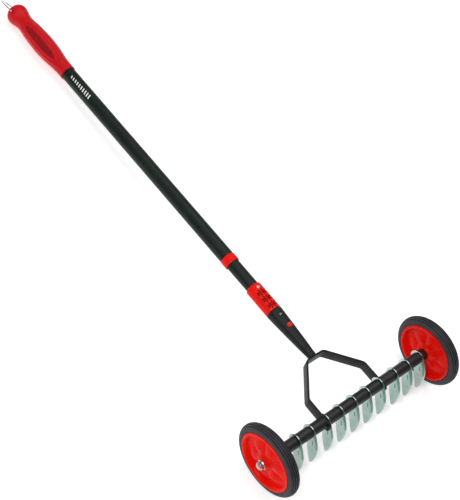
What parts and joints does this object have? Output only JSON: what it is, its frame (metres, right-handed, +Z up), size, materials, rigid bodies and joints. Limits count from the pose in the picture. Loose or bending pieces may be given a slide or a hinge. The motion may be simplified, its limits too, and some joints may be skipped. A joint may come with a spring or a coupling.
{
  "type": "wheeled lawn scarifier rake",
  "caption": "Wheeled lawn scarifier rake: curved thatch blades and spacers on an axle between two wheels, forked yoke, push-button socket and telescopic handle with grip.",
  "frame": {"origin": "middle of the bounding box at floor level, with the tool lying on its two wheels and the end of its grip", "axes": "+X along the axle, +Y along the handle towards the grip (the handle slopes down 2.7 degrees), +Z up"},
  "size_m": [0.4156, 1.0806, 0.131],
  "materials": {
    "zinc_blade": "galvanised, satin",
    "spacer_black": "satin black",
    "frame_black": "satin black powder coat",
    "socket_black": "satin moulded",
    "tube_dark": "semi-matt dark green-black coat",
    "red_plastic": "moulded, semi-gloss",
    "grip_red": "soft moulded grip",
    "wheel_red": "moulded, semi-gloss",
    "tyre_rubber": "matt rubber",
    "zinc_fastener": "bright zinc",
    "spring_steel": "bright wire",
    "nylon_grey": "plain nylon"
  },
  "bodies": {
    "head": {"yoke": "frame_black", "yoke_tang": "frame_black", "socket": "socket_black", "socket_screw": "zinc_fastener", "spigot": "nylon_grey", "button_spring": "spring_steel", "handle_sleeve": "red_plastic", "sleeve_rivet": "zinc_fastener", "inner_tube": "tube_dark", "lock_plug": "nylon_grey", "axle_rod": "zinc_fastener", "blade_01": "zinc_blade", "blade_02": "zinc_blade", "blade_03": "zinc_blade", "blade_04": "zinc_blade", "blade_05": "zinc_blade", "blade_06": "zinc_blade", "blade_07": "zinc_blade", "blade_08": "zinc_blade", "blade_09": "zinc_blade", "blade_10": "zinc_blade", "blade_11": "zinc_blade", "spacer_01": "spacer_black", "spacer_02": "spacer_black", "spacer_03": "spacer_black", "spacer_04": "spacer_black", "spacer_05": "spacer_black", "spacer_06": "spacer_black", "spacer_07": "spacer_black", "spacer_08": "spacer_black", "spacer_09": "spacer_black", "spacer_10": "spacer_black", "hub_washer_left": "zinc_fastener", "lock_nut_left": "zinc_fastener", "hub_washer_right": "zinc_fastener", "lock_nut_right": "zinc_fastener", "hub_spacer_left": "spacer_black", "wheel_bush_left": "spring_steel", "hub_spacer_right": "spacer_black", "wheel_bush_right": "spring_steel"},
    "wheel_left": {"wheel_rim_left": "wheel_red", "tyre_left": "tyre_rubber"},
    "wheel_right": {"wheel_rim_right": "wheel_red", "tyre_right": "tyre_rubber"},
    "button": {"release_button": "red_plastic"},
    "lock": {"lock_bush": "nylon_grey"},
    "cone": {"lock_cone": "nylon_grey"},
    "handle": {"outer_tube": "tube_dark", "tube_collar": "red_plastic", "grip": "grip_red"},
    "loop": {"hang_loop": "spring_steel"}
  },
  "joints": [
    {"name": "wheel_left_spin", "type": "hinge", "parent": "head", "child": "wheel_left", "pos_m": [-0.1848, -0.47485, 0.0655], "axis": [1, 0, 0], "continuous": true},
    {"name": "wheel_right_spin", "type": "hinge", "parent": "head", "child": "wheel_right", "pos_m": [0.1848, -0.47485, 0.0655], "axis": [1, 0, 0], "continuous": true},
    {"name": "button_press", "type": "slide", "parent": "head", "child": "button", "axis": [0, -0.0464, -0.9989], "range_m": [0, 0.0048], "stiffness_N_per_m": 700, "springref_m": -0.004, "deforming": ["button_spring"]},
    {"name": "lock_twist", "type": "hinge", "parent": "head", "child": "lock", "pos_m": [0, 0.41419, 0.02416], "axis": [0, 0.9989, -0.0464], "range_deg": [0, 150]},
    {"name": "cone_travel", "type": "slide", "parent": "lock", "child": "cone", "axis": [0, 0.9989, -0.0464], "range_m": [0, 0.00105]},
    {"name": "handle_extend", "type": "slide", "parent": "lock", "child": "handle", "axis": [0, 0.9989, -0.0464], "range_m": [0, 0.45]},
    {"name": "loop_swing", "type": "hinge", "parent": "handle", "child": "loop", "pos_m": [0, 0.4976, 0.02028], "axis": [-0.6947, 0.0334, 0.7186], "range_deg": [-95, 95]}
  ],
  "couplings": [
    {"joint": "cone_travel", "follows": "lock_twist", "m_per_rad": 0.00039789}
  ]
}
